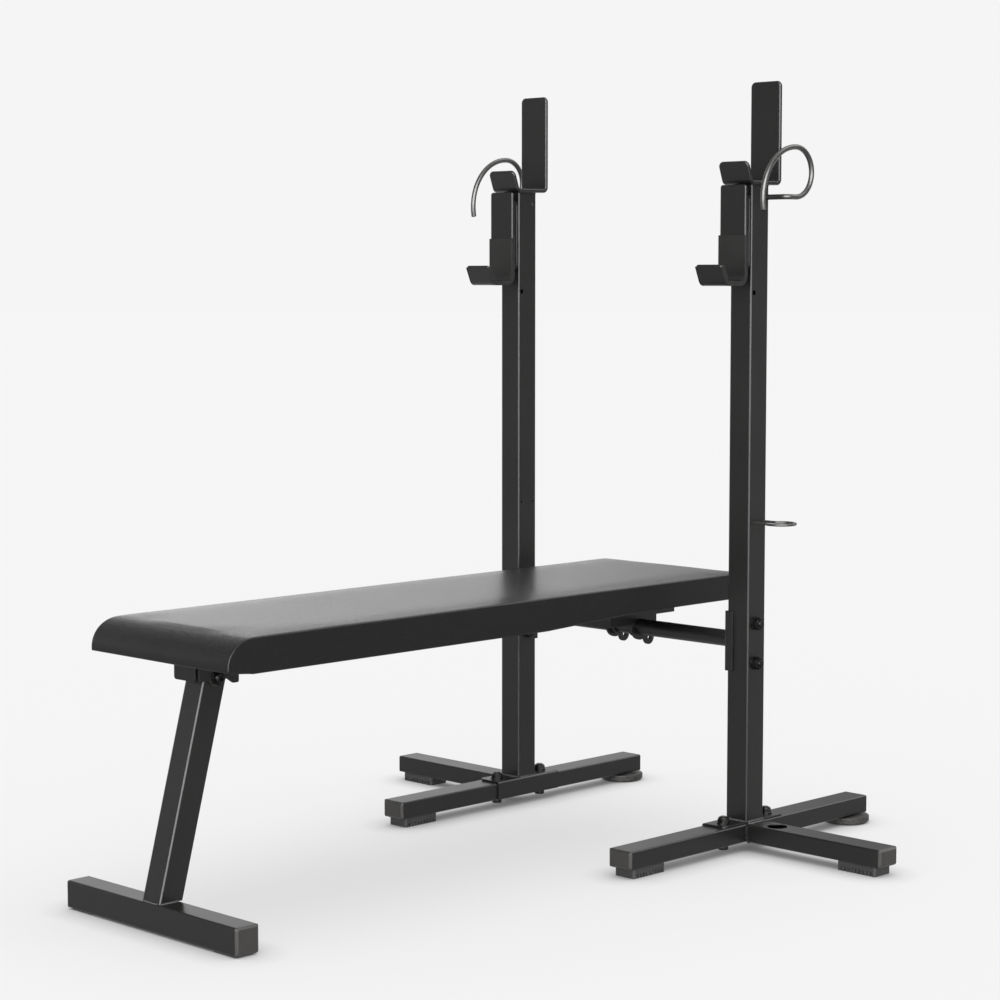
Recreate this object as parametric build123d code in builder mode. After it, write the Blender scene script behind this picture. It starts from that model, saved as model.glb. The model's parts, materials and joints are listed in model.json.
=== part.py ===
"""Flat bench press with two uprights, folding bench and folding front leg.

Millimetres, +Z up, the floor at z = 0. +Y points to the head end of the bench,
+X to the right-hand upright. The origin is on the floor in the middle of the
whole object's outline.
"""
from build123d import *
import os
from math import atan2, cos, degrees, radians, sin, sqrt

# ---------------------------------------------------------------- driving sizes
# uprights
upright_spacing = 478.5        # centre to centre
upright_size = 40.0
upright_corner = 3.0
upright_top = 995.0            # top end of the tube, where the upper rest sits
steel_wall = 2.0               # wall of every square and rectangular tube

# bases
base_width = 43.0
base_height = 27.0
base_corner = 2.5
base_clearance = 14.3          # floor to the underside of the base bars
base_front_reach = 282.0       # upright axis to the outside of the end cap
base_rear_reach = 281.0
outrigger_reach = 267.0        # upright axis to the outside of the end cap
saddle_length = 140.0          # bent plate between each upright and its base bar
saddle_thickness = 3.0
saddle_bend = 4.0              # outside radius of its bend
base_bolt_offset = 50.0        # bolt to upright axis
cap_face = 3.6                 # thickness of the visible part of an end cap
cap_bevel_depth = 2.6
cap_bevel_width = 3.4
cap_plug = 9.0                 # how far a cap's plug reaches into its tube
cap_gap = 0.15                 # plug to tube wall

# feet
foot_length = 68.0
foot_width = 37.5
foot_corner = 4.0
foot_setback = 10.5            # end cap to foot
foot_groove_width = 3.0
foot_groove_depth = 2.0
foot_groove_height = 6.4       # grooves cut the lower part of the long sides only
foot_groove_pitch = 6.6
leveller_inset = 27.0          # end of the base to the stud's axis
leveller_radius = 36.0
leveller_height = 9.0
leveller_sole_height = 2.5
leveller_sole_radius = 32.0
leveller_grip_count = 56
leveller_grip_width = 2.2
leveller_stud_radius = 5.0
running_gap = 0.05             # radial clearance of a shaft in its hole

# bench pad
pad_width = 292.0
pad_top = 401.0
pad_bottom = 353.8             # underside along the foot part
pad_head_bottom = 362.4        # underside over the crossbar
pad_foot_reach = 920.5         # upright axis to the foot end
pad_head_reach = 107.0         # upright axis to the head end
pad_taper_start = 330.0        # where the underside starts to rise
pad_taper_end = 130.0
pad_toe_length = 40.0          # stretch at the foot end where the underside rises
pad_toe_rise = 4.2
pad_nose_length = 44.5         # how far the rounded foot end reaches along the pad
pad_nose_drop = 37.0           # and how far it drops below the top
pad_edge_radius = 4.0
cover_thickness = 1.5
board_thickness = 12.0
board_inset = 6.0              # board edge to the pad's outside

# crossbar
crossbar_height = 315.5
crossbar_radius = 12.5
crossbar_wall = 2.0
bracket_plate = 3.0
crossbar_bracket_height = 90.0
crossbar_bracket_wrap = 12.0   # how far its flanges reach round the upright
crossbar_bolt_offset = 29.9    # bolts above and below their middle
crossbar_bolt_drop = 1.7       # their middle below the crossbar's axis
crossbar_bolt_front = 3.0      # bolts ahead of the upright's axis
bracket_gap = 0.2              # bracket flange to upright face

# head bracket of the bench, all measured from the crossbar's axis
head_plate = 4.0
head_bracket_width = 56.0
head_bracket_front = 72.0
head_bracket_rear = 80.0
head_web_drop = 4.5            # underside of the front web above the axis
head_rail_drop = 16.5          # underside of the rear part above the axis
head_lobe_radius = 20.5
head_lobe_rear = 37.0
lock_lobe_radius = 11.0
lock_lobe_back = 20.0
lock_lobe_drop = 18.5
lock_hole_radius = 3.2
mount_plate_width = 116.0
collar_length = 9.0
collar_radius = 16.0

# foot bracket of the bench
foot_bracket_front = 875.0
foot_bracket_rear = 804.0
foot_bracket_bottom = 328.0
foot_bracket_heel = 321.0      # underside of the small heel at its rear end
foot_bracket_heel_length = 10.0
foot_bracket_inside = 44.0     # between its two side plates
web_slot = 3.0                 # gap between the front web and each side plate

# front leg
leg_size = 38.0
leg_pivot_back = 839.1         # upright axis to the pivot
leg_pivot_height = 331.0
leg_nose_radius = 19.8         # rounded corner of the leg's top end
leg_stop_gap = 0.3             # leg's top end to the bracket's plate
t_foot_back = 921.6            # upright axis to the T-foot's axis
t_foot_length = 365.0
t_foot_width = 38.0
t_foot_top = 39.8
t_grip_height = 2.0
t_grip_length = 46.0

# upper rest
rest_plate = 6.0
rest_width = 56.0
rest_backstop_face = 34.0      # upright axis to the backstop's front face
rest_backstop_top = 1148.5
rest_lip_top = 1028.5
rest_lip_base = 31.0           # upright axis to the lip's outer face at its foot
rest_lip_tip = 42.0            # upright axis to the lip's outer face at its top
rest_bend_radius = 6.0
rest_corner_radius = 8.0
plate_edge_radius = 2.4        # eased long edges of the rests and hooks

# lower hook
hook_plate = 5.0
hook_width = 49.0
hook_face = 40.0               # upright axis to its front face
hook_top = 994.7
hook_bottom = 846.5
hook_reach = 95.5              # upright axis to the lip's outer tip
hook_floor_reach = 81.0        # upright axis to where the lip starts to rise
hook_lip_top = 877.5
hook_back_bend = 14.0
hook_lip_bend = 9.0
liner_thickness = 1.5
liner_side = 1.0
liner_top = 921.0
standoff_width = 30.0
standoff_wall = 3.0
standoff_bottom = 872.0
standoff_top = 980.0

# bar hooks and storage ring
wire_radius = 3.95
pin_hole_radius = 4.0
bar_hook_height = 977.0
bar_hook_back = 12.5           # hole's axis behind the upright's axis
bar_hook_offset = 40.0         # upright face to the plane of the arch
bar_hook_bend = 9.0
arch_small_radius = 36.5
arch_large_radius = 77.0
arch_run = 20.5                # straight run from the pin's axis to the arch
arch_end_angle = 12.0          # how far the tip turns past the vertical
lower_pin_height = 836.5
lower_pin_front = 12.8
ring_height = 496.0
ring_leg_offset = 13.0
ring_radius = 22.5
ring_throat = 6.0              # bend where each leg runs into the loop
ring_wire_radius = 2.0
ring_hole_radius = 2.1
storage_offset = 63.0          # upright axis to the stored bar's axis
storage_hole_radius = 15.5

# fasteners
bolt_radius = 5.0
bolt_hole_radius = 5.2
bolt_head_flats = 16.0
bolt_head_height = 6.4
nut_height = 8.4
nut_gap = 0.05                 # bolt thread to nut thread
washer_radius = 10.5
washer_thickness = 2.0
bolt_tip = 2.5                 # thread standing out of the nut
base_bolt_radius = 5.0
base_bolt_hole_radius = 5.3
base_bolt_head_radius = 8.0
base_bolt_head_height = 8.0
base_nut_flats = 16.0
base_nut_height = 8.0
base_washer_radius = 10.0
base_washer_thickness = 1.6
base_bolt_tip = 1.4
pivot_head_radius = 8.0
pivot_head_height = 4.8
screw_radius = 3.0
screw_head_radius = 6.5
screw_head_height = 3.6
screw_length = 10.0

# ---------------------------------------------------------------- worked-out places
rear_extent = base_rear_reach - leveller_inset + leveller_radius
front_extent = t_foot_back + t_foot_width / 2
upright_y = (front_extent - rear_extent) / 2
upright_x = upright_spacing / 2
half_upright = upright_size / 2
half_base = base_width / 2
base_top = base_clearance + base_height
saddle_top = base_top + saddle_thickness
pivot_y = upright_y - leg_pivot_back
t_foot_y = upright_y - t_foot_back
t_foot_middle = (t_foot_top + t_grip_height) / 2
leveller_y = upright_y + base_rear_reach - leveller_inset
crossbar_bolt_y = upright_y - crossbar_bolt_front
crossbar_bolt_z = crossbar_height - crossbar_bolt_drop
storage_x = upright_x + storage_offset
bracket_inner_x = upright_x - half_upright - bracket_gap - bracket_plate
foot_bracket_outside = foot_bracket_inside + 2 * bracket_plate
foot_plate_bottom = pad_bottom - bracket_plate
head_plate_bottom = pad_head_bottom - head_plate
leg_top = foot_plate_bottom - leg_stop_gap
SIDES = {"left": -1, "right": 1}

os.makedirs("parts", exist_ok=True)


def save(part, name):
    """Labels a finished piece and writes its STEP file."""
    part.label = name
    export_step(part, f"parts/{name}.step")


def across(x):
    """Plane normal to +X at x, its own axes along +Y and +Z."""
    return Plane(origin=(x, 0, 0), x_dir=(0, 1, 0), z_dir=(1, 0, 0))


def facing_front(y):
    """Plane normal to -Y at y, its own axes along +X and +Z."""
    return Plane(origin=(0, y, 0), x_dir=(1, 0, 0), z_dir=(0, -1, 0))


def tube_section(width, height, corner):
    """Hollow rectangle with rounded corners, centred on its plane."""
    with BuildSketch() as section:
        RectangleRounded(width, height, corner)
        inner_corner = max(corner - steel_wall, 0.5)
        RectangleRounded(
            width - 2 * steel_wall, height - 2 * steel_wall, inner_corner, mode=Mode.SUBTRACT
        )
    return section.sketch


def strip(points, bends, thickness, width, x):
    """Bent plate of that thickness: its middle line is given in Y and Z, its width runs along X."""
    with BuildPart() as plate:
        with BuildSketch(across(x)):
            with BuildLine():
                FilletPolyline(*points, radius=bends)
            trace(line_width=thickness)
        extrude(amount=width / 2, both=True)
    return plate.part


def side_edges(plate, x, width):
    """The edges round both flanks of a bent plate of that width centred on x."""
    return plate.edges().filter_by(lambda e: abs(abs(e.center().X - x) - width / 2) < 0.01)


def hexagon_prism(flats, height):
    """Hexagonal prism standing on its plane, its corners turned down at both ends."""
    corner = flats / sqrt(3)
    with BuildPart() as prism:
        with BuildSketch():
            RegularPolygon(flats / 2, 6, major_radius=False)
        extrude(amount=height)
        with BuildPart(mode=Mode.INTERSECT) as blank:
            Cylinder(corner, height, align=(Align.CENTER, Align.CENTER, Align.MIN))
            chamfer(blank.edges().filter_by(GeomType.CIRCLE), 0.45, 0.8)
    return prism.part


# ---------------------------------------------------------------- uprights
def build_upright(side):
    with BuildPart() as tube:
        with BuildSketch(Plane.XY.offset(saddle_top)):
            with Locations((side * upright_x, upright_y)):
                add(tube_section(upright_size, upright_size, upright_corner))
        extrude(amount=upright_top - saddle_top)
        with BuildSketch(across(side * upright_x)):
            with Locations((upright_y + bar_hook_back, bar_hook_height),
                           (upright_y - lower_pin_front, lower_pin_height)):
                Circle(pin_hole_radius)
            with Locations((upright_y - ring_leg_offset, ring_height),
                           (upright_y + ring_leg_offset, ring_height)):
                Circle(ring_hole_radius)
            with Locations((crossbar_bolt_y, crossbar_bolt_z)):
                with GridLocations(0, 2 * crossbar_bolt_offset, 1, 2):
                    Circle(bolt_hole_radius)
        extrude(amount=upright_size, both=True, mode=Mode.SUBTRACT)
    return tube.part


def build_saddle(side):
    """Bent plate welded under the upright: it lies on the base bar and covers its inner side."""
    inner = upright_x - half_base - saddle_thickness
    outer = upright_x + half_upright
    with BuildPart() as saddle:
        with BuildSketch(facing_front(upright_y + saddle_length / 2)):
            with BuildLine():
                Polyline(
                    (side * inner, base_clearance + 1),
                    (side * inner, saddle_top),
                    (side * outer, saddle_top),
                    (side * outer, base_top),
                    (side * (inner + saddle_thickness), base_top),
                    (side * (inner + saddle_thickness), base_clearance + 1),
                    close=True,
                )
            make_face()
        extrude(amount=saddle_length)
        bend = saddle.edges().filter_by(Axis.Y).filter_by(
            lambda e: abs(abs(e.center().X) - inner) < 0.1 and e.center().Z > base_top)
        fillet(bend, saddle_bend)
        corners = saddle.edges().filter_by(Axis.Z).filter_by(
            lambda e: abs(abs(e.center().X) - outer) < 0.1)
        fillet(corners, 8)
        with BuildSketch(Plane.XY.offset(base_top)):
            with Locations((side * upright_x, upright_y)):
                with GridLocations(0, 2 * base_bolt_offset, 1, 2):
                    Circle(base_bolt_hole_radius)
        extrude(amount=saddle_thickness, mode=Mode.SUBTRACT)
    return saddle.part


# ---------------------------------------------------------------- bases
def build_base_bar(side):
    front = upright_y - base_front_reach + cap_face
    rear = upright_y + base_rear_reach - cap_face
    middle = base_clearance + base_height / 2
    with BuildPart() as bar:
        with BuildSketch(facing_front(rear)):
            with Locations((side * upright_x, middle)):
                add(tube_section(base_width, base_height, base_corner))
        extrude(amount=rear - front)
        with BuildSketch(Plane.XY.offset(base_clearance)):
            with Locations((side * upright_x, upright_y)):
                with GridLocations(0, 2 * base_bolt_offset, 1, 2):
                    Circle(base_bolt_hole_radius)
        extrude(amount=base_height, mode=Mode.SUBTRACT)
        with BuildSketch(Plane.XY.offset(base_clearance)):
            with Locations((side * upright_x, leveller_y)):
                Circle(insert_collar_radius)
            with Locations((side * upright_x, front_foot_y)):
                Circle(screw_radius + 0.2)
        extrude(amount=steel_wall, mode=Mode.SUBTRACT)
    return bar.part


def build_outrigger(side):
    start = upright_x + half_base
    end = upright_x + outrigger_reach - cap_face
    middle = base_clearance + base_height / 2
    with BuildPart() as arm:
        with BuildSketch(across(side * start)):
            with Locations((upright_y, middle)):
                add(tube_section(base_width, base_height, base_corner))
        extrude(amount=side * (end - start))
        with BuildSketch(Plane.XY.offset(base_clearance)):
            with Locations((side * outrigger_foot_x, upright_y)):
                Circle(screw_radius + 0.2)
        extrude(amount=steel_wall, mode=Mode.SUBTRACT)
        if side > 0:
            with BuildSketch(Plane.XY.offset(base_top)):
                with Locations((storage_x, upright_y)):
                    Circle(storage_hole_radius)
            extrude(amount=-steel_wall, mode=Mode.SUBTRACT)
    return arm.part


def build_cap(width, height, corner):
    """End cap standing on its face: bevelled face below z = 0, hollow plug above it."""
    rim = cap_face - cap_bevel_depth
    with BuildPart() as cap:
        with BuildSketch():
            RectangleRounded(width, height, corner)
        extrude(amount=-rim)
        with BuildSketch(Plane.XY.offset(-rim)):
            RectangleRounded(width, height, corner)
        with BuildSketch(Plane.XY.offset(-cap_face)):
            RectangleRounded(width - 2 * cap_bevel_width, height - 2 * cap_bevel_width, corner / 2)
        loft()
        plug_width = width - 2 * (steel_wall + cap_gap)
        plug_height = height - 2 * (steel_wall + cap_gap)
        with BuildSketch():
            RectangleRounded(plug_width, plug_height, 1)
            RectangleRounded(plug_width - 4, plug_height - 4, 0.6, mode=Mode.SUBTRACT)
        extrude(amount=cap_plug)
    return cap.part


def build_base_caps(side):
    """The two caps of a base bar."""
    middle = base_clearance + base_height / 2
    cap = build_cap(base_width, base_height, base_corner)
    front = Plane(
        origin=(side * upright_x, upright_y - base_front_reach + cap_face, middle),
        x_dir=(1, 0, 0), z_dir=(0, 1, 0),
    )
    rear = Plane(
        origin=(side * upright_x, upright_y + base_rear_reach - cap_face, middle),
        x_dir=(1, 0, 0), z_dir=(0, -1, 0),
    )
    with BuildPart() as caps:
        add(front * cap)
        add(rear * cap)
    return caps.part


def build_outrigger_cap(side):
    middle = base_clearance + base_height / 2
    place = Plane(
        origin=(side * (upright_x + outrigger_reach - cap_face), upright_y, middle),
        x_dir=(0, 1, 0), z_dir=(-side, 0, 0),
    )
    return place * build_cap(base_width, base_height, base_corner)


# ---------------------------------------------------------------- feet
front_foot_y = upright_y - base_front_reach + foot_setback + foot_length / 2
outrigger_foot_x = upright_x + outrigger_reach - foot_setback - foot_length / 2
insert_collar_radius = 7.5
insert_height = 8.0


def build_foot():
    """Rubber foot under the middle of its own plane, long side along X, top at z = 0."""
    count = int((foot_length - 8) // foot_groove_pitch)
    with BuildPart() as foot:
        with BuildSketch():
            RectangleRounded(foot_length, foot_width, foot_corner)
        extrude(amount=-base_clearance)
        fillet(foot.faces().sort_by(Axis.Z)[0].edges(), 1.2)
        with BuildSketch(Plane.XY.offset(-base_clearance)):
            with GridLocations(foot_groove_pitch, foot_width, count, 2):
                Rectangle(foot_groove_width, 2 * foot_groove_depth)
        extrude(amount=foot_groove_height, mode=Mode.SUBTRACT)
        with BuildSketch():
            Circle(screw_radius)
        extrude(amount=steel_wall + 3)
        with BuildSketch(Plane.XY.offset(steel_wall + 0.1)):
            Circle(screw_radius + 1.6)
        extrude(amount=2.5)
    return foot.part


def build_leveller_wheel(side):
    """Hand wheel with a grip of small ribs, with its threaded stud."""
    stud_top = base_top - steel_wall - 4
    with BuildPart() as wheel:
        with Locations((side * upright_x, leveller_y, leveller_sole_height)):
            Cylinder(
                leveller_radius - 1.2, leveller_height,
                align=(Align.CENTER, Align.CENTER, Align.MIN),
            )
            Cylinder(
                leveller_stud_radius + 4, leveller_height + 1.6,
                align=(Align.CENTER, Align.CENTER, Align.MIN),
            )
            Cylinder(
                leveller_stud_radius, stud_top - leveller_sole_height,
                align=(Align.CENTER, Align.CENTER, Align.MIN),
            )
        with BuildSketch(Plane.XY.offset(leveller_sole_height + 0.8)):
            with Locations((side * upright_x, leveller_y)):
                with PolarLocations(leveller_radius - 2, leveller_grip_count):
                    Rectangle(4, leveller_grip_width)
        extrude(amount=leveller_height - 1.6)
        with Locations((side * upright_x, leveller_y, 0)):
            Cylinder(
                leveller_stud_radius + running_gap + 1, leveller_sole_height + 1.5,
                align=(Align.CENTER, Align.CENTER, Align.MIN), mode=Mode.SUBTRACT,
            )
    return wheel.part


def build_leveller_sole(side):
    """Rubber sole, held in the wheel's underside by a button that can turn."""
    with BuildPart() as sole:
        with Locations((side * upright_x, leveller_y, 0)):
            Cylinder(
                leveller_sole_radius, leveller_sole_height,
                align=(Align.CENTER, Align.CENTER, Align.MIN),
            )
            Cylinder(
                leveller_stud_radius + 1, leveller_sole_height + 1.2,
                align=(Align.CENTER, Align.CENTER, Align.MIN),
            )
    return sole.part


def build_leveller_insert(side):
    """Threaded nut welded inside the base bar, with a collar through its lower wall."""
    floor = base_clearance + steel_wall
    with BuildPart() as insert:
        with BuildSketch(Plane.XY.offset(floor)):
            with Locations((side * upright_x, leveller_y)):
                RegularPolygon(11, 6)
        extrude(amount=insert_height)
        with BuildSketch(Plane.XY.offset(base_clearance)):
            with Locations((side * upright_x, leveller_y)):
                Circle(insert_collar_radius - 0.1)
        extrude(amount=steel_wall)
        with BuildSketch(Plane.XY.offset(base_clearance)):
            with Locations((side * upright_x, leveller_y)):
                Circle(leveller_stud_radius + running_gap)
        extrude(amount=insert_height + steel_wall, mode=Mode.SUBTRACT)
    return insert.part


# ---------------------------------------------------------------- upper rest and lower hook
def build_rest(side):
    """Bent plate on top of the upright: front lip, seat and tall backstop."""
    half = rest_plate / 2
    seat = upright_top + half
    back = upright_y + rest_backstop_face + half
    points = [
        (upright_y - rest_lip_tip + half, rest_lip_top),
        (upright_y - rest_lip_base + half, seat),
        (back, seat),
        (back, rest_backstop_top),
    ]
    with BuildPart() as rest:
        add(strip(points, [rest_bend_radius, rest_bend_radius], rest_plate, rest_width,
                  side * upright_x))
        lip_corners = rest.edges().filter_by(
            lambda e: e.length < rest_plate * 1.2 and e.center().Z > rest_lip_top - rest_plate)
        fillet(lip_corners, rest_corner_radius)
        fillet(side_edges(rest, side * upright_x, rest_width), plate_edge_radius)
    return rest.part


def hook_points(inset, back_top, lip_top):
    """Middle line of the lower hook between two heights, moved inwards by inset."""
    half = hook_plate / 2
    back = upright_y - hook_face + half - inset
    floor = hook_bottom + half
    lip_foot = upright_y - hook_floor_reach
    lip_run = hook_reach - half - hook_floor_reach
    lip_rise = hook_lip_top - floor
    shift = inset * sqrt(lip_run ** 2 + lip_rise ** 2) / lip_rise
    slope = lip_run / lip_rise
    return [
        (back, back_top),
        (back, floor + inset),
        (lip_foot + shift - slope * inset, floor + inset),
        (lip_foot + shift - slope * (lip_top - floor), lip_top),
    ]


def build_lower_hook(side):
    """J-shaped bent plate that carries the bar in front of the upright."""
    with BuildPart() as hook:
        add(strip(hook_points(0, hook_top, hook_lip_top), [hook_back_bend, hook_lip_bend],
                  hook_plate, hook_width, side * upright_x))
        plate_edges = hook.edges().filter_by(lambda e: e.length < hook_plate * 1.02)
        fillet(plate_edges.group_by(Axis.Z)[-1], 4)
        fillet(plate_edges.sort_by(Axis.Y)[:2], 4)
        fillet(side_edges(hook, side * upright_x, hook_width), plate_edge_radius)
    return hook.part


def build_hook_liner(side):
    """Plastic liner: a sheet on the inside of the hook with sides that hold the plate's edges."""
    inner = hook_plate / 2 + liner_thickness / 2
    shift = liner_thickness / 2
    points = hook_points(inner, liner_top, hook_lip_top - 2)
    side_points = hook_points(shift, liner_top, hook_lip_top - 2)
    full_width = hook_width + 2 * liner_side
    with BuildPart() as liner:
        add(strip(points, [hook_back_bend - inner, hook_lip_bend - inner], liner_thickness,
                  full_width, side * upright_x))
        for edge in (-1, 1):
            add(strip(side_points, [hook_back_bend - shift, hook_lip_bend - shift],
                      hook_plate + liner_thickness, liner_side,
                      side * upright_x + edge * (hook_width + liner_side) / 2))
    return liner.part


def build_standoff(side):
    """Short channel that holds the lower hook in front of the upright."""
    front = upright_y - hook_face + hook_plate
    rear = upright_y - half_upright
    with BuildPart() as standoff:
        with BuildSketch(Plane.XY.offset(standoff_bottom)):
            with Locations((side * upright_x, (front + rear) / 2)):
                Rectangle(standoff_width, rear - front)
            with Locations((side * upright_x, (front + rear) / 2 + standoff_wall)):
                Rectangle(
                    standoff_width - 2 * standoff_wall, rear - front, mode=Mode.SUBTRACT)
        extrude(amount=standoff_top - standoff_bottom)
    return standoff.part


# ---------------------------------------------------------------- bar hooks and storage ring
def build_bar_hook(side):
    """Round wire: a pin in the upright's hole, a bend, then an arch over the seated bar."""
    axis_y = upright_y + bar_hook_back
    plane_x = side * (upright_x + half_upright + bar_hook_offset)
    pin_end = side * (upright_x - half_upright + 1)
    arch_y = axis_y + arch_run
    small_centre = bar_hook_height + arch_small_radius
    top = bar_hook_height + 2 * arch_small_radius
    large_centre = top - arch_large_radius
    tip_angle = radians(180 + arch_end_angle)
    with BuildPart() as hook:
        with BuildLine() as route:
            pin = FilletPolyline(
                (pin_end, axis_y, bar_hook_height),
                (plane_x, axis_y, bar_hook_height),
                (plane_x, arch_y, bar_hook_height),
                radius=bar_hook_bend,
            )
            ThreePointArc(
                (plane_x, arch_y, bar_hook_height),
                (plane_x, arch_y + arch_small_radius, small_centre),
                (plane_x, arch_y, top),
            )
            half_turn = radians(90 + (90 + arch_end_angle) / 2)
            ThreePointArc(
                (plane_x, arch_y, top),
                (plane_x, arch_y + arch_large_radius * cos(half_turn),
                 large_centre + arch_large_radius * sin(half_turn)),
                (plane_x, arch_y + arch_large_radius * cos(tip_angle),
                 large_centre + arch_large_radius * sin(tip_angle)),
            )
        with BuildSketch(Plane(origin=(pin_end, axis_y, bar_hook_height), z_dir=(side, 0, 0))):
            Circle(wire_radius)
        sweep(path=route.wires()[0])
        ends = hook.faces().filter_by(GeomType.PLANE)
        chamfer(ends.edges(), 0.8)
    return hook.part


def build_storage_ring():
    """Wire loop beside the right upright that steadies a bar stood on end."""
    start_x = upright_x - half_upright + steel_wall / 2
    throat_y = ring_leg_offset + ring_throat
    throat_x = storage_x - sqrt((ring_radius + ring_throat) ** 2 - throat_y ** 2)
    share = ring_radius / (ring_radius + ring_throat)
    join_x = storage_x - (storage_x - throat_x) * share
    join_y = throat_y * share
    turn = atan2(throat_y, storage_x - throat_x)
    middle = (radians(90) + turn) / 2
    curve_x = throat_x + ring_throat * cos(middle)
    curve_y = throat_y - ring_throat * sin(middle)

    def at(x, y):
        return (x, upright_y + y, ring_height)

    with BuildPart() as ring:
        with BuildLine() as route:
            Line(at(start_x, -ring_leg_offset), at(throat_x, -ring_leg_offset))
            ThreePointArc(
                at(throat_x, -ring_leg_offset), at(curve_x, -curve_y), at(join_x, -join_y))
            ThreePointArc(
                at(join_x, -join_y), at(storage_x + ring_radius, 0), at(join_x, join_y))
            ThreePointArc(
                at(join_x, join_y), at(curve_x, curve_y), at(throat_x, ring_leg_offset))
            Line(at(throat_x, ring_leg_offset), at(start_x, ring_leg_offset))
        with BuildSketch(Plane(origin=at(start_x, -ring_leg_offset), z_dir=(1, 0, 0))):
            Circle(ring_wire_radius)
        sweep(path=route.wires()[0])
    return ring.part


# ---------------------------------------------------------------- crossbar
def build_crossbar():
    with BuildPart() as bar:
        with BuildSketch(across(-bracket_inner_x)):
            with Locations((upright_y, crossbar_height)):
                Circle(crossbar_radius)
                Circle(crossbar_radius - crossbar_wall, mode=Mode.SUBTRACT)
        extrude(amount=2 * bracket_inner_x)
    return bar.part


def build_crossbar_bracket(side):
    """Channel that wraps the inner face of the upright."""
    inner = upright_size / 2 + bracket_gap
    outer = inner + bracket_plate
    web_x = upright_x - outer
    end_x = upright_x - half_upright + crossbar_bracket_wrap
    with BuildPart() as bracket:
        with BuildSketch(Plane.XY.offset(crossbar_height - crossbar_bracket_height / 2)):
            with Locations((side * (web_x + end_x) / 2, upright_y)):
                Rectangle(end_x - web_x, 2 * outer)
            with Locations((side * (web_x + end_x) / 2 + side * bracket_plate / 2, upright_y)):
                Rectangle(end_x - web_x - bracket_plate, 2 * inner, mode=Mode.SUBTRACT)
        extrude(amount=crossbar_bracket_height)
        outside_bends = bracket.edges().filter_by(Axis.Z).filter_by(
            lambda e: abs(abs(e.center().X) - web_x) < 0.1)
        fillet(outside_bends, bracket_plate)
        flange_corners = bracket.edges().filter_by(Axis.Y).filter_by(
            lambda e: abs(abs(e.center().X) - end_x) < 0.1)
        fillet(flange_corners, 3)
        with BuildSketch(across(side * upright_x)):
            with Locations((crossbar_bolt_y, crossbar_bolt_z)):
                with GridLocations(0, 2 * crossbar_bolt_offset, 1, 2):
                    Circle(bolt_hole_radius)
        extrude(amount=side * -upright_size, mode=Mode.SUBTRACT)
    return bracket.part


def bolt(length):
    """Hexagon bolt along +Z: head below z = 0, shank above."""
    with BuildPart() as screw:
        add(Plane.XY.offset(-bolt_head_height) * hexagon_prism(bolt_head_flats, bolt_head_height))
        Cylinder(bolt_radius, length, align=(Align.CENTER, Align.CENTER, Align.MIN))
        chamfer(screw.faces().sort_by(Axis.Z)[-1].edges(), 0.8)
    return screw.part


def socket_bolt(radius, length, head_radius, head_height, rounding):
    """Round-headed bolt along +Z with a hexagon socket: head below z = 0."""
    with BuildPart() as screw:
        with Locations((0, 0, -head_height)):
            Cylinder(head_radius, head_height, align=(Align.CENTER, Align.CENTER, Align.MIN))
        fillet(screw.faces().sort_by(Axis.Z)[0].edges(), rounding)
        Cylinder(radius, length, align=(Align.CENTER, Align.CENTER, Align.MIN))
        chamfer(screw.faces().sort_by(Axis.Z)[-1].edges(), 0.8)
        with BuildSketch(Plane.XY.offset(-head_height)):
            RegularPolygon(radius * 0.75, 6)
        extrude(amount=head_height * 0.55, mode=Mode.SUBTRACT)
    return screw.part


def nut():
    """Hexagon nut on z = 0."""
    with BuildPart() as body:
        add(hexagon_prism(bolt_head_flats, nut_height))
        Hole(bolt_radius + nut_gap)
    return body.part


def lock_nut():
    """Nut of a base bolt on z = 0, with a round collar that holds its locking ring."""
    with BuildPart() as body:
        add(hexagon_prism(base_nut_flats, base_nut_height * 0.72))
        Cylinder(base_nut_flats / 2 - 0.4, base_nut_height,
                 align=(Align.CENTER, Align.CENTER, Align.MIN))
        fillet(body.faces().sort_by(Axis.Z)[-1].edges(), 1)
        Cylinder(base_bolt_radius + nut_gap, 3 * base_nut_height, mode=Mode.SUBTRACT)
    return body.part


def washer(radius, hole, thickness):
    """Flat washer on z = 0."""
    with BuildPart() as ring:
        with BuildSketch():
            Circle(radius)
            Circle(hole, mode=Mode.SUBTRACT)
        extrude(amount=thickness)
    return ring.part


def crossbar_bolt_places(x, direction):
    """Places on both uprights for pieces that look outwards (1) or inwards (-1)."""
    return [
        Plane(
            origin=(side * x, crossbar_bolt_y, crossbar_bolt_z + step * crossbar_bolt_offset),
            x_dir=(0, 0, 1), z_dir=(side * direction, 0, 0),
        )
        for side in SIDES.values() for step in (-1, 1)
    ]


def base_bolt_places(z, direction):
    """Places on both bases for pieces that look up (1) or down (-1)."""
    return [
        Plane(
            origin=(side * upright_x, upright_y + step * base_bolt_offset, z),
            x_dir=(1, 0, 0), z_dir=(0, 0, direction),
        )
        for side in SIDES.values() for step in (-1, 1)
    ]


def group(piece, places):
    """One copy of a piece at each place, as separate solids of one node."""
    with BuildPart() as copies:
        for place in places:
            add(place * piece)
    return copies.part


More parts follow.
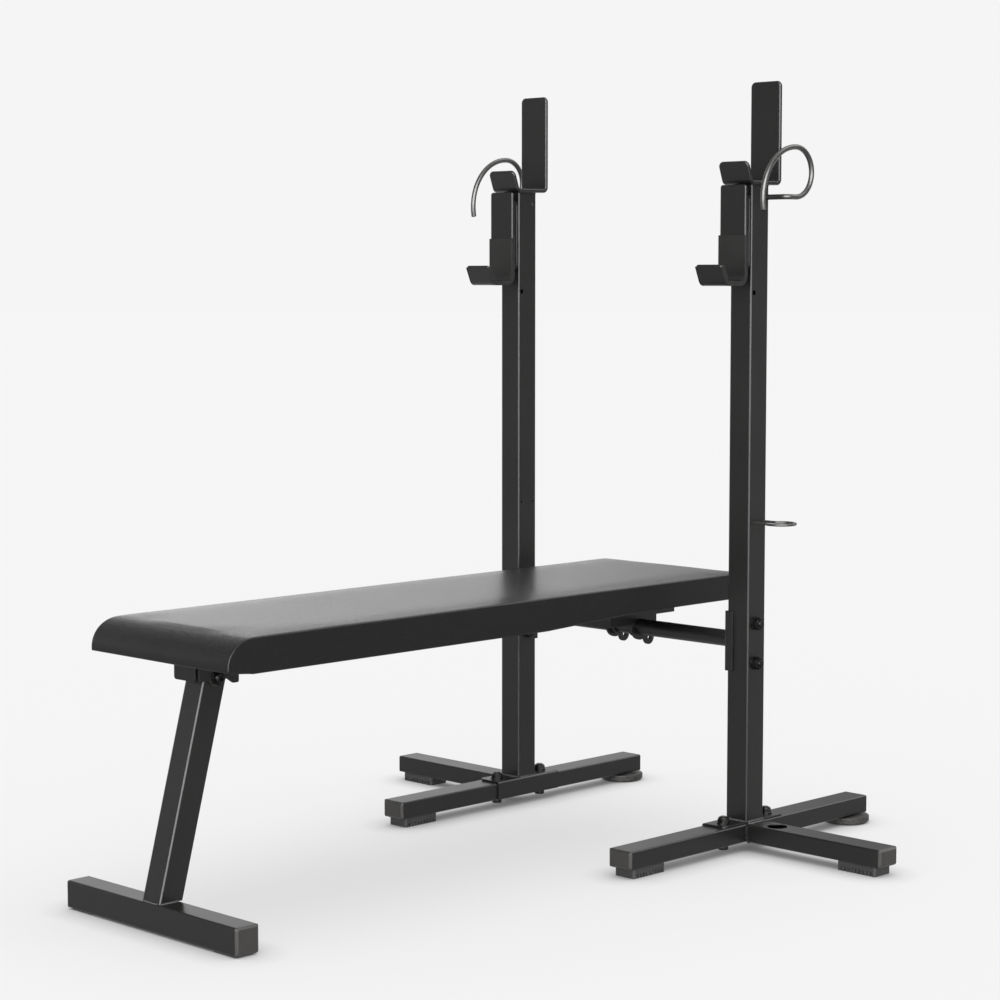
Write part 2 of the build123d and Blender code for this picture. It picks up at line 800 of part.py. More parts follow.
# ---------------------------------------------------------------- bench pad
def pad_outline(inset):
    """Side view of the pad, pulled in by inset."""
    foot = upright_y - pad_foot_reach + inset
    head = upright_y + pad_head_reach - inset
    low = pad_bottom + inset
    raised = pad_head_bottom + inset
    top = pad_top - inset
    nose_y = upright_y - pad_foot_reach + pad_nose_length
    nose_z = pad_top - pad_nose_drop
    toe_radius = min(pad_edge_radius - inset, 0.8 * (nose_z - low - pad_toe_rise))
    with BuildSketch() as outline:
        with BuildLine():
            FilletPolyline(
                (foot, nose_z),
                (foot, low + pad_toe_rise),
                (foot + pad_toe_length, low),
                (upright_y - pad_taper_start, low),
                (upright_y - pad_taper_end, raised),
                (head, raised),
                (head, top),
                (nose_y, top),
                radius=[toe_radius, 40, 60, 60, pad_edge_radius - inset, pad_edge_radius - inset],
            )
            EllipticalCenterArc(
                (nose_y, nose_z), pad_nose_length - inset, pad_nose_drop - inset, 90, arc_size=90)
        make_face()
    return outline.sketch


def pad_body(inset):
    """Closed solid of the pad, pulled in by inset."""
    with BuildPart() as body:
        with BuildSketch(across(0)):
            add(pad_outline(inset))
        extrude(amount=pad_width / 2 - inset, both=True)
    return body.part


def board_body(top, bottom, head, foot):
    """Flat layer of plywood inside the pad."""
    width = pad_width - 2 * board_inset
    with BuildPart() as board:
        with BuildSketch(Plane.XY.offset(bottom)):
            with Locations((0, (head + foot) / 2)):
                RectangleRounded(width, head - foot, 12)
        extrude(amount=top - bottom)
    return board.part


board_bottom = pad_head_bottom + cover_thickness
board_top = board_bottom + board_thickness
board_head = upright_y + pad_head_reach - board_inset
board_foot = upright_y - pad_foot_reach + board_inset + 8
stiffener_bottom = pad_bottom + cover_thickness
stiffener_head = upright_y - pad_taper_start - 10
stiffener_foot = upright_y - pad_foot_reach + pad_toe_length + 4


def mount_screw_places(bottom, rows):
    """Places of the screws of a bracket plate, looking up into the board."""
    half = mount_plate_width / 2 - 12
    return [
        Plane(origin=(step * half, upright_y + row, bottom), z_dir=(0, 0, 1))
        for row in rows for step in (-1, 1)
    ]


head_screw_rows = (-head_bracket_front + 14, head_bracket_rear - 14)
foot_screw_rows = (-foot_bracket_front + 16, -foot_bracket_rear - 12)
screw_places = (mount_screw_places(head_plate_bottom, head_screw_rows)
                + mount_screw_places(foot_plate_bottom, foot_screw_rows))


def screw_void(radius):
    """Clearance bores for all bracket screws."""
    with BuildPart() as bore:
        Cylinder(radius, 40, align=(Align.CENTER, Align.CENTER, Align.MIN))
    return group(bore.part, screw_places)


def build_board():
    with BuildPart() as board:
        add(board_body(board_top, board_bottom, board_head, board_foot))
        add(screw_void(screw_radius + 0.1), mode=Mode.SUBTRACT)
    return board.part


def build_stiffener():
    with BuildPart() as layer:
        add(board_body(board_bottom, stiffener_bottom, stiffener_head, stiffener_foot))
        add(screw_void(screw_radius + 0.1), mode=Mode.SUBTRACT)
    return layer.part


def build_cover():
    with BuildPart() as cover:
        add(pad_body(0))
        fillet(
            cover.edges().filter_by(Axis.Y).filter_by(lambda e: e.length > pad_width), 3.5)
        add(pad_body(cover_thickness), mode=Mode.SUBTRACT)
        add(screw_void(screw_radius + 0.3), mode=Mode.SUBTRACT)
    return cover.part


def build_foam():
    with BuildPart() as foam:
        add(pad_body(cover_thickness))
        add(board_body(board_top, board_bottom, board_head, board_foot), mode=Mode.SUBTRACT)
        add(board_body(board_bottom, stiffener_bottom, stiffener_head, stiffener_foot),
            mode=Mode.SUBTRACT)
        with BuildSketch(Plane.XY.offset(pad_bottom)):
            with Locations((0, upright_y)):
                Rectangle(pad_width * 2, 3 * pad_foot_reach)
        extrude(amount=board_bottom - pad_bottom, mode=Mode.SUBTRACT)
        add(screw_void(screw_radius + 0.3), mode=Mode.SUBTRACT)
    return foam.part


# ---------------------------------------------------------------- brackets of the bench
def build_head_bracket():
    """Bent and welded bracket that turns on the crossbar."""
    top = head_plate_bottom - crossbar_height
    half_width = head_bracket_width / 2

    def bar(y_low, y_high, z_low):
        with Locations(((y_low + y_high) / 2 + upright_y, (z_low + top) / 2 + crossbar_height)):
            Rectangle(y_high - y_low, top - z_low)

    with BuildSketch() as outline:
        with Locations(((head_bracket_rear - head_bracket_front) / 2 + upright_y,
                        (head_rail_drop + top) / 2 + crossbar_height)):
            Rectangle(head_bracket_rear + head_bracket_front, top - head_rail_drop)
        with Locations((-(head_bracket_front + head_lobe_radius) / 2 + upright_y,
                        (head_web_drop + top) / 2 + crossbar_height)):
            Rectangle(head_bracket_front - head_lobe_radius, top - head_web_drop)
        with Locations(((head_lobe_rear - head_lobe_radius) / 2 + upright_y,
                        top / 2 + crossbar_height)):
            Rectangle(head_lobe_rear + head_lobe_radius, top)
        with Locations((upright_y, crossbar_height)):
            Circle(head_lobe_radius)
        with Locations((upright_y + lock_lobe_back, crossbar_height - lock_lobe_drop / 2)):
            Rectangle(2 * lock_lobe_radius, lock_lobe_drop)
        with Locations((upright_y + lock_lobe_back, crossbar_height - lock_lobe_drop)):
            Circle(lock_lobe_radius)
            Circle(lock_hole_radius, mode=Mode.SUBTRACT)
        with Locations((upright_y, crossbar_height)):
            Circle(crossbar_radius + running_gap, mode=Mode.SUBTRACT)
    with BuildPart() as bracket:
        for edge in (-1, 1):
            with BuildSketch(across(edge * (half_width - head_plate / 2))):
                add(outline.sketch)
            extrude(amount=head_plate / 2, both=True)
        with BuildSketch(facing_front(upright_y - head_bracket_front)):
            with Locations((0, crossbar_height + (head_web_drop + top) / 2)):
                Rectangle(head_bracket_width, top - head_web_drop)
        extrude(amount=-head_plate)
        with BuildSketch(Plane.XY.offset(head_plate_bottom)):
            with Locations((0, upright_y + (head_bracket_rear - head_bracket_front) / 2)):
                RectangleRounded(mount_plate_width, head_bracket_rear + head_bracket_front, 5)
        extrude(amount=head_plate)
        add(screw_void(screw_radius + 0.3), mode=Mode.SUBTRACT)
    return bracket.part


def build_foot_bracket():
    """Bent bracket that holds the front leg's pivot."""
    front = upright_y - foot_bracket_front
    rear = upright_y - foot_bracket_rear
    heel = foot_bracket_heel_length
    half = foot_bracket_outside / 2
    web_width = foot_bracket_inside - 2 * web_slot + bracket_plate
    with BuildSketch() as outline:
        with BuildLine():
            Polyline(
                (front + bracket_plate + 0.5, foot_plate_bottom),
                (front + bracket_plate + 0.5, foot_bracket_bottom),
                (rear - 2 * heel, foot_bracket_bottom),
                (rear - heel, foot_bracket_heel),
                (rear, foot_bracket_heel),
                (rear, foot_plate_bottom),
                close=True,
            )
        make_face()
        fillet(outline.vertices().group_by(Axis.Y)[0], 2.5)
        with Locations((pivot_y, leg_pivot_height)):
            Circle(bolt_radius + 0.1, mode=Mode.SUBTRACT)
    with BuildPart() as bracket:
        for edge in (-1, 1):
            with BuildSketch(across(edge * (half - bracket_plate / 2))):
                add(outline.sketch)
            extrude(amount=bracket_plate / 2, both=True)
        with BuildSketch(facing_front(front)):
            with Locations((-web_slot / 2, (foot_bracket_bottom + foot_plate_bottom) / 2)):
                RectangleRounded(
                    web_width + web_slot, foot_plate_bottom - foot_bracket_bottom, 4)
            with Locations((-web_slot / 2, foot_plate_bottom - 4)):
                Rectangle(web_width + web_slot, 8)
        extrude(amount=-bracket_plate)
        with BuildSketch(Plane.XY.offset(foot_plate_bottom)):
            with Locations((0, (front + rear) / 2)):
                RectangleRounded(mount_plate_width, rear - front, 5)
        extrude(amount=bracket_plate)
        add(screw_void(screw_radius + 0.3), mode=Mode.SUBTRACT)
    return bracket.part


def build_collars():
    """Two rings welded on the crossbar that keep the bench in the middle."""
    inner = head_bracket_width / 2 - head_plate - 0.6
    with BuildPart() as collars:
        for edge in (-1, 1):
            with BuildSketch(across(edge * inner)):
                with Locations((upright_y, crossbar_height)):
                    Circle(collar_radius)
                    Circle(crossbar_radius + nut_gap, mode=Mode.SUBTRACT)
            extrude(amount=-edge * collar_length)
    return collars.part


# ---------------------------------------------------------------- front leg
leg_lean = atan2(t_foot_back - leg_pivot_back, leg_pivot_height - t_foot_middle)
leg_plane = Plane(
    origin=(0, pivot_y, leg_pivot_height), x_dir=(1, 0, 0),
    z_dir=(0, -sin(leg_lean), -cos(leg_lean)),
)
bush_flange = 2.4
bush_radius = 8.0


def build_leg():
    """Square tube from the pivot down to the T-foot."""
    length = (leg_pivot_height - t_foot_top) / cos(leg_lean) + leg_size
    with BuildPart() as leg:
        with BuildSketch(leg_plane.offset(-leg_size)):
            add(tube_section(leg_size, leg_size, upright_corner))
        extrude(amount=length + leg_size)
        with BuildSketch(Plane.XY.offset(t_foot_top)):
            with Locations((0, t_foot_y)):
                Rectangle(4 * leg_size, 4 * leg_size)
        extrude(amount=-3 * leg_size, mode=Mode.SUBTRACT)
        with BuildSketch(Plane.XY.offset(leg_top)):
            with Locations((0, pivot_y)):
                Rectangle(4 * leg_size, 4 * leg_size)
        extrude(amount=3 * leg_size, mode=Mode.SUBTRACT)
        with BuildSketch(across(0)):
            with Locations((pivot_y + leg_size, leg_pivot_height + leg_size)):
                Rectangle(2 * leg_size, 2 * leg_size)
            with Locations((pivot_y, leg_pivot_height)):
                Circle(leg_nose_radius, mode=Mode.SUBTRACT)
        extrude(amount=leg_size, both=True, mode=Mode.SUBTRACT)
        with BuildSketch(across(0)):
            with Locations((pivot_y, leg_pivot_height)):
                Circle(bush_radius + 0.1)
        extrude(amount=leg_size, both=True, mode=Mode.SUBTRACT)
    return leg.part


def build_leg_bushes():
    """Plastic bushes in the leg's side walls, with flanges that centre it in the bracket."""
    with BuildPart() as bushes:
        for edge in (-1, 1):
            with BuildSketch(across(edge * leg_size / 2)):
                with Locations((pivot_y, leg_pivot_height)):
                    Circle(bush_radius + 4)
            extrude(amount=edge * bush_flange)
            with BuildSketch(across(edge * leg_size / 2)):
                with Locations((pivot_y, leg_pivot_height)):
                    Circle(bush_radius)
            extrude(amount=-edge * 8)
        with BuildSketch(across(0)):
            with Locations((pivot_y, leg_pivot_height)):
                Circle(bolt_radius + running_gap)
        extrude(amount=leg_size, both=True, mode=Mode.SUBTRACT)
    return bushes.part


def build_t_foot():
    with BuildPart() as tube:
        end = t_foot_length / 2 - cap_face
        with BuildSketch(across(-end)):
            with Locations((t_foot_y, t_foot_middle)):
                add(tube_section(t_foot_width, t_foot_top - t_grip_height, upright_corner))
        extrude(amount=2 * end)
    return tube.part


def build_t_foot_caps():
    cap = build_cap(t_foot_width, t_foot_top - t_grip_height, upright_corner)
    end = t_foot_length / 2 - cap_face
    places = [
        Plane(origin=(edge * end, t_foot_y, t_foot_middle), x_dir=(0, 1, 0), z_dir=(-edge, 0, 0))
        for edge in (-1, 1)
    ]
    return group(cap, places)


def build_t_foot_grips():
    with BuildPart() as grips:
        with BuildSketch():
            with Locations((0, t_foot_y)):
                with GridLocations(t_foot_length - t_grip_length - 12, 0, 2, 1):
                    RectangleRounded(t_grip_length, t_foot_width - 7, 4)
        extrude(amount=t_grip_height)
    return grips.part


# ---------------------------------------------------------------- every piece
foot_on_base = build_foot()
for name, side in SIDES.items():
    save(build_upright(side), f"{name}_upright")
    save(build_saddle(side), f"{name}_saddle")
    save(build_base_bar(side), f"{name}_base_bar")
    save(build_outrigger(side), f"{name}_outrigger")
    save(build_base_caps(side), f"{name}_base_caps")
    save(build_outrigger_cap(side), f"{name}_outrigger_cap")
    front_place = Plane(
        origin=(side * upright_x, front_foot_y, base_clearance), x_dir=(0, 1, 0), z_dir=(0, 0, 1))
    outer_place = Plane(
        origin=(side * outrigger_foot_x, upright_y, base_clearance), z_dir=(0, 0, 1))
    save(front_place * foot_on_base, f"{name}_front_foot")
    save(outer_place * foot_on_base, f"{name}_outrigger_foot")
    save(build_leveller_wheel(side), f"{name}_leveller_wheel")
    save(build_leveller_sole(side), f"{name}_leveller_sole")
    save(build_leveller_insert(side), f"{name}_leveller_insert")
    save(build_rest(side), f"{name}_upper_rest")
    save(build_lower_hook(side), f"{name}_lower_hook")
    save(build_hook_liner(side), f"{name}_hook_liner")
    save(build_standoff(side), f"{name}_hook_standoff")
    save(build_bar_hook(side), f"{name}_bar_hook")
    save(build_crossbar_bracket(side), f"{name}_crossbar_bracket")

save(build_storage_ring(), "bar_storage_ring")
save(build_crossbar(), "crossbar")
save(build_collars(), "crossbar_collars")

crossbar_washer = washer(washer_radius, bolt_radius + 0.3, washer_thickness)
crossbar_head_x = bracket_inner_x - washer_thickness
crossbar_nut_x = upright_x + half_upright + washer_thickness
crossbar_bolt_length = crossbar_nut_x + nut_height + bolt_tip - crossbar_head_x
save(group(bolt(crossbar_bolt_length), crossbar_bolt_places(crossbar_head_x, 1)), "crossbar_bolts")
save(group(nut(), crossbar_bolt_places(crossbar_nut_x, 1)), "crossbar_nuts")
save(group(crossbar_washer, crossbar_bolt_places(upright_x + half_upright, 1)
           + crossbar_bolt_places(bracket_inner_x, -1)), "crossbar_washers")

base_washer = washer(base_washer_radius, base_bolt_radius + 0.3, base_washer_thickness)
base_nut_z = saddle_top + base_washer_thickness
base_head_z = base_clearance - base_washer_thickness
base_bolt = socket_bolt(
    base_bolt_radius, base_nut_z + base_nut_height + base_bolt_tip - base_head_z,
    base_bolt_head_radius, base_bolt_head_height, 0.8)
save(group(base_bolt, base_bolt_places(base_head_z, 1)), "base_bolts")
save(group(lock_nut(), base_bolt_places(base_nut_z, 1)), "base_nuts")
save(group(base_washer, base_bolt_places(saddle_top, 1) + base_bolt_places(base_clearance, -1)),
     "base_washers")

save(build_cover(), "pad_cover")
save(build_foam(), "pad_foam")
save(build_board(), "pad_board")
save(build_stiffener(), "pad_stiffener")
save(build_head_bracket(), "head_bracket")
save(build_foot_bracket(), "foot_bracket")
bracket_screw = socket_bolt(
    screw_radius, bracket_plate + cover_thickness + screw_length,
    screw_head_radius, screw_head_height, 1.8)
save(group(bracket_screw, screw_places), "bracket_screws")

leg_bolt_place = Plane(
    origin=(foot_bracket_outside / 2 + washer_thickness, pivot_y, leg_pivot_height),
    x_dir=(0, 0, 1), z_dir=(-1, 0, 0))
leg_nut_place = Plane(
    origin=(-foot_bracket_outside / 2 - washer_thickness, pivot_y, leg_pivot_height),
    x_dir=(0, 0, 1), z_dir=(-1, 0, 0))
leg_bolt = socket_bolt(
    bolt_radius, foot_bracket_outside + 2 * washer_thickness + nut_height + 2,
    pivot_head_radius, pivot_head_height, 3.4)
save(leg_bolt_place * leg_bolt, "leg_pivot_bolt")
save(leg_nut_place * nut(), "leg_pivot_nut")
save(group(crossbar_washer, [
    Plane(origin=(edge * foot_bracket_outside / 2, pivot_y, leg_pivot_height),
          x_dir=(0, 0, 1), z_dir=(edge, 0, 0)) for edge in (-1, 1)]), "leg_pivot_washers")
save(build_leg(), "leg_tube")
save(build_leg_bushes(), "leg_bushes")
save(build_t_foot(), "t_foot")
save(build_t_foot_caps(), "t_foot_caps")
save(build_t_foot_grips(), "t_foot_grips")

print("upright_y", upright_y, "pivot_y", pivot_y, "lean", degrees(leg_lean))
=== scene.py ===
"""Studio scene of a flat weight bench between two barbell uprights.

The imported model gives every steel, plastic and rubber piece. This script adds
the finishes, the upholstered cushion with its underside, the weld beads, and
the floor, light and camera.
"""

import json
from math import cos, pi, radians, sin

import bmesh
import bpy
from mathutils import Matrix, Vector


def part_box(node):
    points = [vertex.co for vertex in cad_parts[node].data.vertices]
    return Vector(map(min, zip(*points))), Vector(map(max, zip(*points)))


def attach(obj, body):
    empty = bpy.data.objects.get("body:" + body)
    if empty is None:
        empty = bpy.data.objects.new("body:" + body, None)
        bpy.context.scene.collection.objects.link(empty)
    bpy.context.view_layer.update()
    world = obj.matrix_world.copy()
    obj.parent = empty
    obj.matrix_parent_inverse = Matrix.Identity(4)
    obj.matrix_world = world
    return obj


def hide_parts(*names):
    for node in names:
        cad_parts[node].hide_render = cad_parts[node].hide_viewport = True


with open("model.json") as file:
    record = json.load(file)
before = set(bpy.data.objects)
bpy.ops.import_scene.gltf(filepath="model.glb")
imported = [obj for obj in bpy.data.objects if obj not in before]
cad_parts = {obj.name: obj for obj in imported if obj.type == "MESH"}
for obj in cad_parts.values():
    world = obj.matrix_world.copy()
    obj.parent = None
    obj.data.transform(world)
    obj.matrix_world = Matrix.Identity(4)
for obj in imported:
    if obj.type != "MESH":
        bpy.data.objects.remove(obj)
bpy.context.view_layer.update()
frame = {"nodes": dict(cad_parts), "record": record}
nodes = frame["nodes"]
scene = bpy.context.scene

PALE = 0.913                    # level of the floor and of the background
DIAGONAL = 0.7071               # cosine of 45 degrees: the bench is seen along a diagonal


# ---------------------------------------------------------------- node helpers
class Wire:
    """A node's output, with the arithmetic that finishes are written in."""

    def __init__(self, recipe, socket):
        self.recipe = recipe
        self.socket = socket

    def maths(self, operation, first, second):
        return self.recipe.node("Math", {"operation": operation}, {0: first, 1: second})

    def __add__(self, other):
        return self.maths("ADD", self, other)

    def __radd__(self, other):
        return self.maths("ADD", other, self)

    def __sub__(self, other):
        return self.maths("SUBTRACT", self, other)

    def __rsub__(self, other):
        return self.maths("SUBTRACT", other, self)

    def __mul__(self, other):
        return self.maths("MULTIPLY", self, other)

    def __rmul__(self, other):
        return self.maths("MULTIPLY", other, self)

    def __truediv__(self, other):
        return self.maths("DIVIDE", self, other)

    def __rtruediv__(self, other):
        return self.maths("DIVIDE", other, self)

    def __gt__(self, other):
        return self.maths("GREATER_THAN", self, other)

    def __lt__(self, other):
        return self.maths("LESS_THAN", self, other)


class Recipe:
    """Adds nodes to one material's or world's tree."""

    def __init__(self, tree):
        self.tree = tree
        tree.nodes.clear()

    def node(self, kind, settings=None, sockets=None, out=0):
        """Adds a node with its settings, then the values or links of its sockets."""
        made = self.tree.nodes.new("ShaderNode" + kind)
        for name, value in (settings or {}).items():
            setattr(made, name, value)
        for name, value in (sockets or {}).items():
            if isinstance(value, Wire):
                self.tree.links.new(value.socket, made.inputs[name])
            else:
                made.inputs[name].default_value = value
        return Wire(self, made.outputs[out]) if made.outputs else None

    def place(self):
        """Object coordinates, in metres."""
        return self.node("TexCoord", out="Object")

    def noise(self, scale, detail=2.0, roughness=0.5, vector=None):
        """Noise of that many features to the metre."""
        return self.node("TexNoise", None, {
            "Vector": vector or self.place(), "Scale": scale, "Detail": detail,
            "Roughness": roughness})

    def cells(self, scale, feature="F1", vector=None):
        """Distance to the nearest of a scatter of points, or to the edge between two."""
        return self.node("TexVoronoi", {"feature": feature}, {
            "Vector": vector or self.place(), "Scale": scale}, "Distance")

    def axis(self, name):
        """The place along X, Y or Z."""
        return self.node("SeparateXYZ", None, {0: self.place()}, name)

    def ease(self, value, low, high, start=0.0, end=1.0):
        """start below low, end above high, smooth between."""
        return self.node("MapRange", {"interpolation_type": "SMOOTHSTEP"}, {
            "Value": value, "From Min": low, "From Max": high, "To Min": start, "To Max": end})

    def blend(self, share, first, second):
        """From the first colour to the second."""
        return self.node("Mix", {"data_type": "RGBA"}, {0: share, 6: first, 7: second}, 2)

    def relief(self, height, depth, under=None):
        """A bump of that depth in metres, on the normals given."""
        sockets = {"Height": height, "Distance": depth, "Strength": 1.0}
        if under is not None:
            sockets["Normal"] = under
        return self.node("Bump", None, sockets)

    def soft_edge(self, radius):
        """Normals that round the sharp edges by that radius."""
        return self.node("Bevel", {"samples": 6}, {"Radius": radius})


def bands(spacing):
    """Scale that gives a wave texture one band in every spacing."""
    return 2 * pi / (20 * spacing)


def shade(level, warmth=0.0):
    """A near-black or grey paint colour, a little warm or cool."""
    return (level * (1 + warmth), level, level * (1 - warmth), 1.0)


def finish(name, write, **constants):
    """A material: write(recipe) gives what changes over the surface, constants what doesn't."""
    material = bpy.data.materials.new(name)
    material.use_nodes = True
    recipe = Recipe(material.node_tree)
    sockets = {key.replace("_", " "): value for key, value in constants.items()}
    sockets.update(write(recipe))
    surface = recipe.node("BsdfPrincipled", None, sockets)
    recipe.node("OutputMaterial", None, {"Surface": surface})
    return material


# ---------------------------------------------------------------- finishes
def powder_coat(recipe):
    """Semi-gloss black powder: fine orange peel, a few specks, and softly rounded edges."""
    peel = recipe.noise(850, 1.5, 0.45)
    drift = recipe.noise(9, 3)
    grit = recipe.cells(420)
    speck = recipe.ease(grit, 0.0, 0.16, 1.0, 0.0)
    rounded = recipe.soft_edge(0.0009)
    bumped = recipe.relief(peel + speck * 0.25, 0.00003, rounded)
    return {
        "Base Color": recipe.blend(drift, shade(0.0105, 0.03), shade(0.0150, 0.03)),
        "Roughness": 0.23 + drift * 0.08 + peel * 0.12,
        "Normal": bumped,
    }


def wire_coat(recipe):
    """Smooth, tight coat on drawn wire, with the metal's gloss showing through."""
    wipe = recipe.noise(60, 3)
    rounded = recipe.soft_edge(0.0006)
    return {
        "Base Color": recipe.blend(wipe, shade(0.085, 0.02), shade(0.115, 0.02)),
        "Roughness": 0.27 + wipe * 0.08,
        "Normal": recipe.relief(wipe, 0.00002, rounded),
    }


def black_oxide(recipe):
    """Oiled black oxide on steel, rubbed a little brighter in patches."""
    rub = recipe.ease(recipe.noise(160, 4, 0.65), 0.48, 0.72)
    grain = recipe.noise(2600, 2)
    rounded = recipe.soft_edge(0.0005)
    return {
        "Base Color": recipe.blend(rub, shade(0.022, 0.02), shade(0.045, 0.03)),
        "Roughness": 0.30 + rub * 0.10 + grain * 0.06,
        "Normal": recipe.relief(grain, 0.000012, rounded),
    }


def threaded(along, start):
    """Black oxide with a bolt's thread cut in it, beyond start along an axis."""
    pitch = 0.0014
    depth = 0.0005

    def write(recipe):
        made = black_oxide(recipe)
        reach = recipe.node("Math", {"operation": "ABSOLUTE"}, {0: recipe.axis(along)})
        turns = recipe.node("TexWave", {"bands_direction": along}, {
            "Vector": recipe.place(), "Scale": bands(pitch), "Distortion": 0.0})
        ridge = turns * (reach > start)
        made["Normal"] = recipe.relief(ridge, depth, made["Normal"])
        return made
    return write


def moulded(level, grain_size, roughness):
    """Black plastic from a spark-eroded mould."""
    def write(recipe):
        pits = recipe.cells(1 / grain_size)
        flow = recipe.noise(30, 3)
        rounded = recipe.soft_edge(0.0006)
        return {
            "Base Color": recipe.blend(flow, shade(level, 0.05), shade(level * 1.35, 0.05)),
            "Roughness": roughness + flow * 0.08,
            "Normal": recipe.relief(pits, 0.00004, rounded),
        }
    return write


def rubber(recipe):
    """Black rubber with fine pores and a little bloom."""
    bloom = recipe.ease(recipe.noise(70, 4, 0.6), 0.45, 0.75)
    pores = recipe.cells(1500)
    rounded = recipe.soft_edge(0.0007)
    return {
        "Base Color": recipe.blend(bloom, shade(0.040), shade(0.060, 0.04)),
        "Roughness": 0.60 + bloom * 0.12,
        "Normal": recipe.relief(pores, 0.00003, rounded),
    }


def vinyl(recipe):
    """Upholstery vinyl: pebbled grain about a millimetre across, with fine creases between, the
    creases painted darker as shade.
    """
    pebbles_to_metre = 820
    wander = 0.0012                 # how far the grain strays from plain cells
    warp = recipe.noise(260, 2)
    stray = recipe.node("TexNoise", None, {"Vector": recipe.place(), "Scale": 420}, "Color")
    place = recipe.node("Mix", {"data_type": "VECTOR"}, {0: wander, 4: recipe.place(), 5: stray}, 1)
    pebble = recipe.cells(pebbles_to_metre, vector=place)
    crease = recipe.cells(pebbles_to_metre, "DISTANCE_TO_EDGE", place)
    groove_and_painted_shade = recipe.ease(crease, 0.0, 0.16)
    wear = recipe.noise(5, 3)
    height = groove_and_painted_shade * 0.8 + (1 - pebble) * 0.35 + warp * 0.25
    return {
        # painted shade: the colour is darker in the creases between the pebbles
        "Base Color": recipe.blend(groove_and_painted_shade, shade(0.008), shade(0.015, 0.02)),
        "Roughness": 0.29 - groove_and_painted_shade * 0.08 + wear * 0.04,
        "Normal": recipe.relief(height, 0.00006),
    }


def dust_cloth(recipe):
    """Spun-bonded black lining: thin fibres in every direction, with small heat-pressed dots."""
    fibres = recipe.noise(1500, 4, 0.75)
    press = recipe.cells(700)
    dots = recipe.ease(press, 0.12, 0.30)
    return {
        "Base Color": recipe.blend(fibres, shade(0.010), shade(0.030)),
        "Roughness": 0.80 - (1 - dots) * 0.25,
        "Normal": recipe.relief(fibres * 0.6 + dots * 0.6, 0.00012),
    }


def plywood(recipe):
    """Birch plies: pale faces, darker lines where the layers are glued."""
    ply_thickness = 0.003
    stretched = recipe.node("Mapping", None, {0: recipe.place(), 3: (9, 1, 9)})
    figure = recipe.noise(14, 5, 0.6, stretched)
    ply = recipe.node("TexWave", {"bands_direction": "Z"}, {
        "Vector": recipe.place(), "Scale": bands(ply_thickness), "Distortion": 0.2})
    glue = recipe.ease(ply, 0.75, 0.95)
    wood = recipe.blend(figure, (0.62, 0.45, 0.27, 1), (0.42, 0.28, 0.15, 1))
    return {
        "Base Color": recipe.blend(glue, wood, (0.24, 0.15, 0.08, 1)),
        "Roughness": 0.62 + figure * 0.15,
        "Normal": recipe.relief(figure, 0.0002),
    }


def foam(recipe):
    """Open-cell upholstery foam, its pores painted darker as shade."""
    pore_and_painted_shade = recipe.cells(900)
    return {
        # painted shade: the colour is darkest at the pits' centres, inside the pores
        "Base Color": recipe.blend(pore_and_painted_shade, (0.62, 0.58, 0.44, 1), (0.80, 0.77, 0.64, 1)),
        "Roughness": 0.9 - pore_and_painted_shade * 0.05,
        "Normal": recipe.relief(pore_and_painted_shade, 0.0006),
    }


def weld_metal(recipe):
    """Weld bead under the powder coat: a little rougher, with small ripples."""
    ripple = recipe.noise(700, 3, 0.6)
    return {
        "Base Color": recipe.blend(ripple, shade(0.011, 0.03), shade(0.017, 0.03)),
        "Roughness": 0.44 + ripple * 0.16,
        "Normal": recipe.relief(ripple, 0.00025),
    }


def staple_wire(recipe):
    """Galvanised staple wire."""
    tarnish = recipe.noise(900, 3)
    return {
        "Base Color": recipe.blend(tarnish, (0.42, 0.42, 0.43, 1), (0.58, 0.58, 0.58, 1)),
        "Roughness": 0.32 + tarnish * 0.15,
    }


finishes = {
    "black_paint": finish("black_powder_coat", powder_coat),
    "dark_steel": finish("black_oxide_steel", black_oxide, Metallic=0.8),
    "black_plastic": finish("moulded_cap_plastic", moulded(0.040, 0.0006, 0.40)),
    "wheel_plastic": finish("hand_wheel_plastic", moulded(0.055, 0.0008, 0.40)),
    "black_rubber": finish("foot_rubber", rubber),
    "vinyl": finish("pebbled_vinyl", vinyl, Specular_IOR_Level=0.28),
    "foam": finish("upholstery_foam", foam),
    "plywood": finish("birch_plywood", plywood),
}
liner_plastic = finish("hook_liner_plastic", moulded(0.012, 0.0006, 0.36))
weld_coat = finish("coated_weld", weld_metal)
coated_wire = finish("coated_wire", wire_coat, Metallic=0.65)
lining = finish("spun_bonded_lining", dust_cloth)
staple_metal = finish("galvanised_staple", staple_wire, Metallic=0.9)


def dress(name, material):
    """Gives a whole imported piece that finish."""
    for slot in nodes[name].material_slots:
        slot.material = material


for part in frame["record"]["subparts"]:
    dress(part["node"], finishes[part["material_slot"]])
for side in ("left", "right"):
    dress(f"{side}_hook_liner", liner_plastic)
    dress(f"{side}_bar_hook", coated_wire)
dress("bar_storage_ring", coated_wire)

crossbar_thread = 0.0045        # the threads show this far back from the bolts' outer ends
base_thread = 0.0013            # and from the base bolts' upper ends
for name, direction, start in (
        ("crossbar_bolts", "X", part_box("crossbar_bolts")[1].x - crossbar_thread),
        ("base_bolts", "Z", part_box("base_bolts")[1].z - base_thread)):
    dress(name, finish(f"{name}_thread", threaded(direction, start), Metallic=0.8))


# ---------------------------------------------------------------- mesh helpers
def settle(mesh, name, body, material):
    """Turns a bmesh into a piece with that material, riding on a body."""
    bmesh.ops.recalc_face_normals(mesh, faces=mesh.faces)
    data = bpy.data.meshes.new(name)
    mesh.to_mesh(data)
    mesh.free()
    data.materials.append(material)
    piece = bpy.data.objects.new(name, data)
    scene.collection.objects.link(piece)
    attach(piece, body)
    return piece


